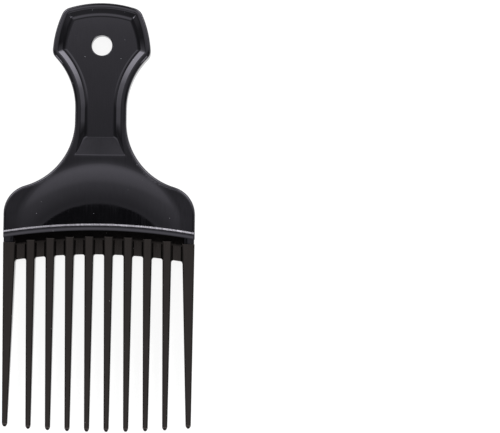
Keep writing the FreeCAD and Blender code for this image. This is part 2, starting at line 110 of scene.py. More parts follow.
def linear(code: str) -> tuple[float, float, float, float]:
    """Turn an sRGB hex code into linear colour.

    Args:
        code: Six hex digits after a hash sign.

    Returns:
        Red, green, blue and alpha.
    """
    shares = [int(code[n:n + 2], 16) / 255 for n in (1, 3, 5)]
    red, green, blue = [s / 12.92 if s <= 0.04045 else ((s + 0.055) / 1.055) ** 2.4 for s in shares]
    return red, green, blue, 1.0


def feed(tree: bpy.types.NodeTree, socket: bpy.types.NodeSocket, value: Any) -> None:
    """Link another node's output to an input, or set the input to a constant."""
    if isinstance(value, bpy.types.NodeSocket):
        tree.links.new(value, socket)
    else:
        socket.default_value = value


def add_node(tree: bpy.types.NodeTree, kind: str, settings: dict[str, Any] | None = None,
             **inputs: Any) -> bpy.types.Node:
    """Add a node, set its settings, and link or set its inputs.

    Args:
        tree: The node tree that gets the node.
        kind: The node's type name.
        settings: The node's own settings by name.
        inputs: A socket to link or a constant to set, by input name with _ for a space.

    Returns:
        The new node.
    """
    node = tree.nodes.new(kind)
    for name, value in (settings or {}).items():
        setattr(node, name, value)
    for name, value in inputs.items():
        feed(tree, node.inputs[name.replace("_", " ")], value)
    return node


def maths(tree: bpy.types.NodeTree, operation: str, *values: Any) -> bpy.types.NodeSocket:
    """Add a Math node.

    Args:
        tree: The node tree that gets the node.
        operation: What the node works out.
        values: The sockets to link or constants to set, in order.

    Returns:
        The node's output.
    """
    node = add_node(tree, "ShaderNodeMath", {"operation": operation})
    for socket, value in zip(node.inputs, values):
        feed(tree, socket, value)
    return node.outputs["Value"]


def mixed(tree: bpy.types.NodeTree, share: bpy.types.NodeSocket, *colours: Any) -> bpy.types.NodeSocket:
    """Add a Mix node for two colours.

    Args:
        tree: The node tree that gets the node.
        share: The second colour's share.
        colours: The sockets to link or colours to set, in order.

    Returns:
        The mixed colour.
    """
    node = add_node(tree, "ShaderNodeMix", {"data_type": "RGBA"}, Factor=share)
    for socket, colour in zip((s for s in node.inputs if s.type == "RGBA"), colours):
        feed(tree, socket, colour)
    return next(s for s in node.outputs if s.type == "RGBA")


@dataclass(frozen=True)
class Finish:
    """A moulded plastic's finish: its colour, its polish and the small faults that the eye reads."""

    name: str
    colour: str
    # Colour where the noise marks wear; in the painted highlight finish it is a paler patch of the painted
    # line.
    wear_and_highlight_colour: str
    dust_colour: str
    gleam: str
    roughness: float
    worn_roughness: float
    ripple: float
    grain: float

    def material(self) -> bpy.types.Material:
        """Make the material in the object's own coordinates.

        Returns:
            The new material.
        """
        made = bpy.data.materials.new(self.name)
        made.use_nodes = True
        tree = made.node_tree
        tree.nodes.clear()
        place = add_node(tree, "ShaderNodeTexCoord").outputs["Object"]
        # Cooling of the melt leaves soft patches about 20 mm across, a little duller than the rest.
        patches = add_node(tree, "ShaderNodeTexNoise", Vector=place, Scale=1 / (20 * MM), Detail=2.0)
        # Handling leaves hairline rubs about 0.4 mm apart, drawn out along the pick's length.
        along = add_node(tree, "ShaderNodeMapping", Vector=place, Scale=(1.0, RUB_SHARE, 1.0))
        rubs = add_node(tree, "ShaderNodeTexNoise", Vector=along.outputs["Vector"], Scale=1 / (0.4 * MM),
                        Detail=2.0)
        wear = maths(tree, "MULTIPLY", patches.outputs["Fac"], rubs.outputs["Fac"])
        worn = add_node(tree, "ShaderNodeMapRange", Value=wear, From_Min=WEAR_RANGE[0],
                        From_Max=WEAR_RANGE[1])
        # Dust settles as specks about 0.2 mm across, and few of the 4 mm cells have theirs in the surface.
        specks = add_node(tree, "ShaderNodeTexVoronoi", Vector=place, Scale=1 / (4 * MM), Randomness=1.0)
        dust = add_node(tree, "ShaderNodeMapRange", Value=specks.outputs["Distance"],
                        From_Min=SPECK_RANGE[0], From_Max=SPECK_RANGE[1], To_Min=1.0, To_Max=0.0)
        body = mixed(tree, worn.outputs["Result"], linear(self.colour), linear(self.wear_and_highlight_colour))
        dusted = mixed(tree, dust.outputs["Result"], body, linear(self.dust_colour))
        polish = add_node(tree, "ShaderNodeMapRange", Value=worn.outputs["Result"], To_Min=self.roughness,
                          To_Max=self.worn_roughness)
        # The mould's hand polish leaves ripples about 9 mm long that bend reflections slightly.
        waves = add_node(tree, "ShaderNodeTexNoise", Vector=place, Scale=1 / (9 * MM), Detail=1.0)
        soft = add_node(tree, "ShaderNodeBump", Height=waves.outputs["Fac"], Strength=1.0,
                        Distance=self.ripple * MM)
        # A fine grain about 0.5 mm across breaks the edges of the reflections.
        grains = add_node(tree, "ShaderNodeTexNoise", Vector=place, Scale=1 / (0.5 * MM), Detail=3.0)
        fine = add_node(tree, "ShaderNodeBump", Height=grains.outputs["Fac"], Strength=1.0,
                        Distance=self.grain * MM, Normal=soft.outputs["Normal"])
        shader = add_node(tree, "ShaderNodeBsdfPrincipled", Base_Color=dusted,
                          Roughness=polish.outputs["Result"], IOR=PLASTIC_IOR,
                          Specular_Tint=linear(self.gleam), Normal=fine.outputs["Normal"])
        add_node(tree, "ShaderNodeOutputMaterial", Surface=shader.outputs["BSDF"])
        return made


# Polished moulding: near-black with clear, slightly wavy reflections and a few hairline rubs.
POLISHED = Finish("black_polystyrene_polished_moulding", "#040405", "#0b0b0d", "#8d8d92", "#f3efff",
                  0.03, 0.07, 0.006, 0.0003)
# Painted highlight: the bead's upper edge, which faces the light beyond the head, is painted as a thin pale
# line in place of the light it catches.
PAINTED_HIGHLIGHT = Finish("black_polystyrene_painted_highlight", "#75737a", "#b5b2ba", "#d5d3d8", "#ffffff",
                0.30, 0.45, 0.006, 0.0010)
# Satin moulding: the comb's tool was polished less, so its reflections spread and look a little warm.
SATIN = Finish("black_polystyrene_satin_moulding", "#070606", "#0f0e0d", "#8f8d8a", "#fff0ec",
               0.08, 0.14, 0.008, 0.0010)


def crossing(first: Vector, first_radius: float, second: Vector, second_radius: float) -> Vector:
    """Find where two circles cross, on the right-hand side going from the first centre to the second.

    Args:
        first: First circle's centre.
        first_radius: First circle's radius.
        second: Second circle's centre.
        second_radius: Second circle's radius.

    Returns:
        The crossing point.
    """
    step = second - first
    along = (first_radius ** 2 - second_radius ** 2 + step.length_squared) / (2 * step.length)
    across = math.sqrt(first_radius ** 2 - along ** 2)
    ahead = step.normalized()
    return first + ahead * along + ahead.cross(UP) * across


def arc(mesh: BMesh, start: BMVert, centre: Vector, end: Vector, steps: int) -> BMVert:
    """Spin a vertex about a centre into an arc of edges.

    Args:
        mesh: The mesh that gets the arc.
        start: The vertex that the arc starts from.
        centre: The arc's centre.
        end: A point in the direction where the arc ends.
        steps: Number of edges.

    Returns:
        The arc's last vertex.
    """
    arm = (start.co - centre).to_2d()
    turn = -arm.angle_signed((end - centre).to_2d())
    pivot = Vector((centre.x, centre.y, start.co.z))
    made = bmesh.ops.spin(mesh, geom=[start], cent=pivot, axis=UP, angle=turn, steps=steps)
    return next(item for item in made["geom_last"] if isinstance(item, BMVert))


def run(mesh: BMesh, start: BMVert, end: Vector) -> BMVert:
    """Draw one straight edge from a vertex to a point.

    Args:
        mesh: The mesh that gets the edge.
        start: The vertex that the edge starts from.
        end: Where the edge ends.

    Returns:
        The edge's new vertex.
    """
    made = bmesh.ops.extrude_vert_indiv(mesh, verts=[start])
    bmesh.ops.translate(mesh, verts=made["verts"], vec=end - start.co)
    return made["verts"][0]


def chain(start: BMVert, end: BMVert, after: BMEdge | None = None) -> list[BMEdge]:
    """List the edges of an open line from its first vertex to its last.

    Args:
        start: The line's first vertex.
        end: The line's last vertex.
        after: The edge before the line's first, where the line goes on from another.

    Returns:
        The edges in order.
    """
    edges: list[BMEdge] = []
    here, last = start, after
    while here is not end:
        last = next(edge for edge in here.link_edges if edge is not last)
        edges.append(last)
        here = last.other_vert(here)
    return edges


def ends(line: list[BMEdge]) -> tuple[BMVert, BMVert]:
    """Find the first and last vertex of an open line of edges in order."""
    first = next(vert for vert in line[0].verts if vert not in line[1].verts)
    last = next(vert for vert in line[-1].verts if vert not in line[-2].verts)
    return first, last


def joined(mesh: BMesh, first: BMVert, second: BMVert) -> BMEdge:
    """Find the edge between two vertices, or draw it.

    Args:
        mesh: The mesh that has the vertices.
        first: One end.
        second: The other end.

    Returns:
        The edge.
    """
    found = mesh.edges.get((first, second))
    return found or bmesh.ops.contextual_create(mesh, geom=[first, second])["edges"][0]


def verts_of(made: Iterable[Any]) -> list[BMVert]:
    """Pick the vertices out of what an operator made."""
    return [item for item in made if isinstance(item, BMVert)]


def soften(mesh: BMesh, edges: Iterable[BMEdge], size: float, segments: int) -> list[BMVert]:
    """Round edges off.

    Args:
        mesh: The mesh that has the edges.
        edges: The edges to round.
        size: How far the round reaches from each edge.
        segments: Faces across the round.

    Returns:
        The round's vertices.
    """
    return bmesh.ops.bevel(mesh, geom=list(edges), offset=size, offset_type="OFFSET", affect="EDGES",
                           segments=segments, profile=0.5, material=-1, clamp_overlap=True)["verts"]


def cut(mesh: BMesh, faces: list[BMFace], axis: Vector, place: float) -> None:
    """Cut faces along a plane square to an axis.

    Args:
        mesh: The mesh that has the faces.
        faces: The faces to cut.
        axis: The axis.
        place: Where on the axis the plane is.
    """
    around = list({part for face in faces for part in (*face.edges, *face.verts)})
    bmesh.ops.bisect_plane(mesh, geom=faces + around, plane_co=axis * place, plane_no=axis, dist=TIDY)


def reflect(mesh: BMesh, over: Mirror) -> None:
    """Mirror everything in a mesh over a plane and weld it there.

    Args:
        mesh: The mesh to mirror.
        over: The plane.
    """
    everything = mesh.verts[:] + mesh.edges[:] + mesh.faces[:]
    bmesh.ops.mirror(mesh, geom=everything, matrix=Matrix.Identity(4), merge_dist=TIDY, axis=over.value)


def piece(mesh: BMesh, name: str, crease: float) -> bpy.types.Object:
    """Turn a mesh in millimetres about the seam into a piece of the pick in metres.

    Args:
        mesh: The mesh, which is freed.
        name: The piece's name.
        crease: Angle in degrees above which an edge stays sharp.

    Returns:
        The new object, in place.
    """
    bmesh.ops.translate(mesh, verts=mesh.verts, vec=(0.0, SEAM_Y, MID_Z))
    bmesh.ops.scale(mesh, verts=mesh.verts, vec=(MM, MM, MM))
    bmesh.ops.recalc_face_normals(mesh, faces=mesh.faces)
    for face in mesh.faces:
        face.smooth = True
    data = bpy.data.meshes.new(name)
    mesh.to_mesh(data)
    mesh.free()
    data.set_sharp_from_angle(angle=math.radians(crease))
    made = bpy.data.objects.new(name, data)
    bpy.context.scene.collection.objects.link(made)
    shading = made.modifiers.new("flat_faces_stay_flat", "WEIGHTED_NORMAL")
    shading.keep_sharp = True
    return made


@dataclass
class Handle:
    """The flat handle: a waisted grip with a sunk panel on both faces, a hang hole and a beaded foot.

    Sizes are in millimetres. Levels count up from the seam's crest and heights from mid-thickness.
    """

    shoulder_half: float = 37.895
    shoulder_level: float = 6.5
    shoulder_radius: float = 11.5
    waist_level: float = 43.4
    neck_level: float = 48.5
    neck_half: float = 10.2
    neck_radius: float = 29.4
    top_level: float = 90.685
    top_radius: float = 44.0
    crown_radius: float = 4.5
    side_level: float = 69.2
    head_half: float = 19.55
    side_radius: float = 42.0
    cheek_radius: float = 4.0
    seam_radius: float = 230.0
    half_thickness: float = 3.6
    rim_round: float = 1.4
    mouth_inset: float = 2.15
    mouth_end: tuple[float, float] = (9.85, 29.9)
    floor_inset: float = 4.6
    floor_end: tuple[float, float] = (5.9, 37.1)
    panel_depth: float = 1.5
    mouth_corner: float = 1.2
    floor_corner: float = 1.3
    panel_edge: float = 0.22
    floor_hollow: float = 1.0
    hole_level: float = 73.8
    hole_radius: float = 4.05
    hole_bevel: float = 0.45
    swell_level: float = -5.4
    swell_rise: float = 0.7
    swell_reach: float = 33.4
    swell_slim: float = 0.93
    flat_level: float = -21.8
    flat_reach: float = 32.6
    cove_share: float = 0.16
    swell_grid: float = 0.9
    bead_width: float = 2.6
    bead_half: float = 4.7
    bead_crest: float = 1.7
    bead_radius: float = 4.5
    # Least and greatest lean towards the head of the bead's faces that are painted pale as a highlight, in
    # place of the light their edge catches.
    highlight_leans: tuple[float, float] = (0.06, 0.35)
    end_inset: float = 0.2
    block_width: float = 4.0
    block_half: float = 2.9
    block_round: float = 0.6
    block_drop: float = 4.794
    crease: float = 35.0

    def __post_init__(self) -> None:
        """Place the centres that the outline's arcs share."""
        self.top_centre = Vector((0.0, self.top_level - self.top_radius, 0.0))
        self.side_centre = Vector((self.head_half - self.side_radius, self.side_level, 0.0))
        self.neck_centre = Vector((self.neck_half + self.neck_radius, self.neck_level, 0.0))
        self.shoulder_centre = Vector((self.shoulder_half - self.shoulder_radius, self.shoulder_level, 0.0))
        step = self.shoulder_centre - Vector((self.neck_half, self.waist_level, 0.0))
        radius = (step.length_squared - self.shoulder_radius ** 2) / (2 * (self.shoulder_radius + step.x))
        self.waist_centre = Vector((self.neck_half + radius, self.waist_level, 0.0))
        self.seam_centre = Vector((0.0, -self.seam_radius, 0.0))

    def head_line(self, mesh: BMesh, inset: float, crown: float, cheek: float,
                  height: float) -> tuple[BMVert, BMVert]:
        """Draw the right half of the head and neck, set in from the outline.

        Args:
            mesh: The mesh that gets the line.
            inset: Distance inside the outline.
            crown: Radius of the upper corner.
            cheek: Radius of the lower corner.
            height: The line's level above mid-thickness.

        Returns:
            The first vertex at the top and the last at the waist.
        """
        top, side, neck = self.top_radius - inset, self.side_radius - inset, self.neck_radius + inset
        crown_centre = crossing(self.top_centre, top - crown, self.side_centre, side - crown)
        cheek_centre = crossing(self.neck_centre, neck + cheek, self.side_centre, side - cheek)
        first = mesh.verts.new((0.0, self.top_level - inset, height))
        last = arc(mesh, first, self.top_centre, crown_centre, TOP_STEPS)
        last = arc(mesh, last, crown_centre, crown_centre * 2 - self.side_centre, CORNER_STEPS)
        last = arc(mesh, last, self.side_centre, cheek_centre, SIDE_STEPS)
        last = arc(mesh, last, cheek_centre, self.neck_centre, CORNER_STEPS)
        last = arc(mesh, last, self.neck_centre, self.neck_centre - RIGHT, SIDE_STEPS)
        return first, run(mesh, last, Vector((self.neck_half - inset, self.waist_level, height)))

    @staticmethod
    def tail(mesh: BMesh, start: BMVert, end: Vector) -> BMVert:
        """Draw the arc that leaves the neck upright and ends at a point further out.

        Args:
            mesh: The mesh that gets the arc.
            start: The line's last vertex at the waist.
            end: Where the arc ends.

        Returns:
            The arc's last vertex.
        """
        step = end - start.co
        return arc(mesh, start, start.co + RIGHT * (step.length_squared / (2 * step.x)), end, TAIL_STEPS)

    def quarter(self, mesh: BMesh) -> None:
        """Model the front right quarter: rim, sunk panel, ramp, hole, shoulder and side wall.

        Args:
            mesh: The mesh that gets the quarter.
        """
        rim, floor = self.half_thickness, self.half_thickness - self.panel_depth
        top, corner = self.head_line(mesh, 0.0, self.crown_radius, self.cheek_radius, rim)
        radius, level = self.waist_centre.x - self.neck_half, self.mouth_end[1] - self.waist_level
        beside = self.waist_centre + Vector((-math.sqrt(radius ** 2 - level ** 2), level, 0.0))
        waist = arc(mesh, corner, self.waist_centre, beside, TAIL_STEPS)
        rim_line = chain(top, waist)
        mouth_top, corner = self.head_line(mesh, self.mouth_inset, self.mouth_corner, self.mouth_corner, rim)
        mouth_end = self.tail(mesh, corner, Vector((*self.mouth_end, rim)))
        mouth_line = chain(mouth_top, mouth_end)
        floor_top, corner = self.head_line(mesh, self.floor_inset, self.floor_corner, self.floor_corner,
                                           floor)
        floor_end = self.tail(mesh, corner, Vector((*self.floor_end, floor)))
        floor_line = chain(floor_top, floor_end)
        foot = arc(mesh, waist, self.waist_centre, self.shoulder_centre, SHOULDER_STEPS)
        foot = arc(mesh, foot, self.shoulder_centre, self.shoulder_centre + RIGHT, SHOULDER_STEPS)
        drop = math.sqrt(self.seam_radius ** 2 - self.shoulder_half ** 2) - self.seam_radius
        foot = run(mesh, foot, Vector((self.shoulder_half, drop, rim)))
        middle = arc(mesh, foot, self.seam_centre, Vector(), SEAM_STEPS)
        shoulder_line = chain(waist, middle, after=rim_line[-1])
        bmesh.ops.bridge_loops(mesh, edges=rim_line + mouth_line)
        bmesh.ops.bridge_loops(mesh, edges=mouth_line + floor_line)
        ramp_foot = run(mesh, floor_end, Vector((0.0, self.floor_end[1], floor)))
        ramp_head = run(mesh, mouth_end, Vector((0.0, self.mouth_end[1], rim)))
        ramp = [joined(mesh, ramp_foot, ramp_head), joined(mesh, ramp_foot, floor_end),
                joined(mesh, ramp_head, mouth_end), joined(mesh, floor_end, mouth_end)]
        bmesh.ops.edgeloop_fill(mesh, edges=ramp)
        lip = self.hole(mesh, floor)
        bmesh.ops.edgeloop_fill(mesh, edges=floor_line + lip + [
            joined(mesh, floor_end, ramp_foot), joined(mesh, ramp_foot, ends(lip)[0]),
            joined(mesh, ends(lip)[1], floor_top)])
        bmesh.ops.edgeloop_fill(mesh, edges=shoulder_line + [
            joined(mesh, waist, mouth_end), joined(mesh, mouth_end, ramp_head),
            joined(mesh, ramp_head, middle)])
        wall = bmesh.ops.extrude_edge_only(mesh, edges=rim_line + shoulder_line)["geom"]
        bmesh.ops.translate(mesh, verts=verts_of(wall), vec=UP * -rim)

    def hole(self, mesh: BMesh, floor: float) -> list[BMEdge]:
        """Model half of the hang hole's wall with its rounded lip.

        Args:
            mesh: The mesh that gets the wall.
            floor: The panel floor's level.

        Returns:
            The lip's edges in the floor, from the lowest up.
        """
        centre = Vector((0.0, self.hole_level, floor))
        first = mesh.verts.new((0.0, self.hole_level - self.hole_radius - self.hole_bevel, floor))
        last = arc(mesh, first, centre, centre + RIGHT, HOLE_STEPS)
        last = arc(mesh, last, centre, self.top_centre + AHEAD * self.top_radius, HOLE_STEPS)
        lip = chain(first, last)
        ring = lip
        for step in range(1, LIP_STEPS + 1):
            turn = step / LIP_STEPS * math.pi / 2
            wider, deeper = self.hole_bevel * (1 - math.sin(turn)), self.hole_bevel * (1 - math.cos(turn))
            ring = self.grow(mesh, ring, self.hole_radius + wider, floor - deeper)
        self.grow(mesh, ring, self.hole_radius, 0.0)
        return lip

    def grow(self, mesh: BMesh, ring: list[BMEdge], radius: float, height: float) -> list[BMEdge]:
        """Grow the hang hole's wall by one ring of faces.

        Args:
            mesh: The mesh that has the wall.
            ring: The edges that the wall ends in so far.
            radius: The new ring's radius.
            height: The new ring's level.

        Returns:
            The new ring's edges.
        """
        made = bmesh.ops.extrude_edge_only(mesh, edges=ring)["geom"]
        verts = verts_of(made)
        centre = Vector((0.0, self.hole_level, verts[0].co.z))
        share = radius / (verts[0].co - centre).length
        bmesh.ops.scale(mesh, verts=verts, vec=(share, share, 1.0), space=Matrix.Translation(-centre))
        bmesh.ops.translate(mesh, verts=verts, vec=UP * (height - centre.z))
        return [item for item in made if isinstance(item, BMEdge) and item.is_boundary
                and all(abs(vert.co.z - height) < TIDY for vert in item.verts)]

    def rise(self, point: Vector) -> float:
        """Say how far the shoulder swells above the rim at a point."""
        inside = self.swell_reach - math.hypot(point.x * self.swell_slim, point.y - self.swell_level)
        outside = math.hypot(point.x, point.y - self.flat_level) - self.flat_reach
        if inside <= 0.0 or outside <= 0.0:
            return self.swell_rise if inside > 0.0 else 0.0
        share = inside / (inside + outside)
        if share < self.cove_share:
            return self.swell_rise * share ** 2 / self.cove_share
        return self.swell_rise * (1 - (1 - share) ** 2 / (1 - self.cove_share))

    def swell(self, mesh: BMesh) -> None:
        """Cut the shoulder's flat faces into a fine net and raise it into a low dome on both sides.

        Args:
            mesh: The handle's closed mesh.
        """
        for axis, low, high in ((RIGHT, -self.swell_reach, self.swell_reach),
                                (AHEAD, self.swell_level, self.mouth_end[1])):
            for step in range(1, round((high - low) / self.swell_grid)):
                cut(mesh, self.shoulder_faces(mesh), axis, low + step * self.swell_grid)
        for vert in {vert for face in self.shoulder_faces(mesh) for vert in face.verts}:
            vert.co.z += math.copysign(self.rise(vert.co), vert.co.z)

    def shoulder_faces(self, mesh: BMesh) -> list[BMFace]:
        """List the flat faces below the panel on both sides."""
        return [face for face in mesh.faces if abs(face.normal.z) > FLAT
                and all(abs(abs(vert.co.z) - self.half_thickness) < TIDY for vert in face.verts)
                and face.calc_center_median().y < self.mouth_end[1]]

    def edges(self, mesh: BMesh, level: float, slopes: tuple[float, float]) -> list[BMEdge]:
        """List the edges at a level between a flat face and one that slopes within limits.

        Args:
            mesh: The handle's closed mesh.
            level: The edges' level on both sides of mid-thickness.
            slopes: Least and greatest upward share of the sloped face's normal.

        Returns:
            The edges, without those on the seam and round the hang hole.
        """
        found = []
        for edge in mesh.edges:
            if len(edge.link_faces) != 2 or any(abs(abs(vert.co.z) - level) > TIDY for vert in edge.verts):
                continue
            shares = sorted(abs(face.normal.z) for face in edge.link_faces)
            middle = (edge.verts[0].co + edge.verts[1].co) / 2
            reach = (middle.to_2d() - self.seam_centre.to_2d()).length
            on_seam = abs(reach - self.seam_radius) < self.end_inset
            beside = math.hypot(middle.x, middle.y - self.hole_level)
            at_hole = beside < self.hole_radius + 2 * self.hole_bevel
            sloped = slopes[0] <= shares[0] <= slopes[1]
            if sloped and shares[1] > FLAT and not on_seam and not at_hole:
                found.append(edge)
        return found

    def foot(self, mesh: BMesh) -> None:
        """Add the bead along the seam and the small block under each of its ends.

        Args:
            mesh: The mesh that gets them.
        """
        reach = math.asin((self.shoulder_half - self.end_inset) / (self.seam_radius + self.bead_width))
        half = self.bead_width / 2
        middle = Vector((self.bead_crest - half, self.bead_half - self.bead_radius, 0.0))
        high, low = (middle.y + math.sqrt(self.bead_radius ** 2 - (side - middle.x) ** 2)
                     for side in (half, -half))
        first = mesh.verts.new((half, -high, 0.0))
        last = run(mesh, first, Vector((half, high, 0.0)))
        last = arc(mesh, last, middle, Vector((-half, low, 0.0)), BEAD_STEPS)
        last = run(mesh, last, Vector((-half, -low, 0.0)))
        last = arc(mesh, last, Vector((middle.x, -middle.y, 0.0)), Vector((half, -high, 0.0)), BEAD_STEPS)
        section = list({vert for edge in chain(first, last) for vert in edge.verts} - {last})
        bmesh.ops.weld_verts(mesh, targetmap={last: first})
        outline = list({edge for vert in section for edge in vert.link_edges})
        start = bmesh.ops.edgeloop_fill(mesh, edges=outline)["faces"]
        bmesh.ops.rotate(mesh, verts=section, matrix=Matrix.Rotation(math.pi / 2, 3, "X"))
        bmesh.ops.rotate(mesh, verts=section, matrix=Matrix.Rotation(math.pi / 2, 3, "Z"))
        bmesh.ops.translate(mesh, verts=section, vec=AHEAD * half)
        bmesh.ops.rotate(mesh, verts=section, cent=self.seam_centre, matrix=Matrix.Rotation(-reach, 3, "Z"))
        bmesh.ops.spin(mesh, geom=start, cent=self.seam_centre, axis=UP, angle=2 * reach, steps=SWEEP_STEPS)
        for side in (-1.0, 1.0):
            middle = side * (self.shoulder_half - self.end_inset - self.block_width / 2)
            block = bmesh.ops.create_cube(mesh, size=1.0)["verts"]
            bmesh.ops.scale(mesh, verts=block, vec=(self.block_width, self.block_drop, 2 * self.block_half))
            bmesh.ops.translate(mesh, verts=block, vec=RIGHT * middle - AHEAD * (self.block_drop / 2))
            soften(mesh, {edge for vert in block for edge in vert.link_edges
                          if abs(edge.verts[0].co.y - edge.verts[1].co.y) > self.block_round},
                   self.block_round, BLOCK_SEGMENTS)

    def build(self) -> bpy.types.Object:
        """Model the handle.

        Returns:
            The handle, in place.
        """
        mesh = bmesh.new()
        self.quarter(mesh)
        reflect(mesh, Mirror.SIDES)
        reflect(mesh, Mirror.FACES)
        bmesh.ops.recalc_face_normals(mesh, faces=mesh.faces)
        rim, floor = self.half_thickness, self.half_thickness - self.panel_depth
        # The hollow comes before the ramp's foot, whose short edges would hold it back.
        for level, slopes, size, segments in ((rim, OUTER_SLOPES, self.rim_round, ROUND_SEGMENTS),
                                              (rim, PANEL_SLOPES, self.panel_edge, EDGE_SEGMENTS),
                                              (floor, WALL_SLOPES, self.floor_hollow, ROUND_SEGMENTS),
                                              (floor, RAMP_SLOPES, self.panel_edge, EDGE_SEGMENTS)):
            soften(mesh, self.edges(mesh, level, slopes), size, segments)
            mesh.normal_update()
        self.swell(mesh)
        self.foot(mesh)
        mesh.normal_update()
        # Bead faces leaning towards the lit head take the second material, a painted highlight.
        low, high = self.highlight_leans
        for face in mesh.faces:
            middle = face.calc_center_median()
            on_bead = abs(middle.z) > self.half_thickness + self.swell_rise and middle.y < self.bead_width
            face.material_index = int(on_bead and low < face.normal.y < high)
        return piece(mesh, "moulded_handle", self.crease)

    def dress(self, made: bpy.types.Object, finish: Finish) -> None:
        """Give the handle its plastic, the bead's painted highlight and its place in the frame."""
        made.data.materials.append(finish.material())
        # The second slot is the bead's painted highlight, a pale line in place of the light on its edge.
        made.data.materials.append(PAINTED_HIGHLIGHT.material())
        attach(made, "root")
        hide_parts("handle")


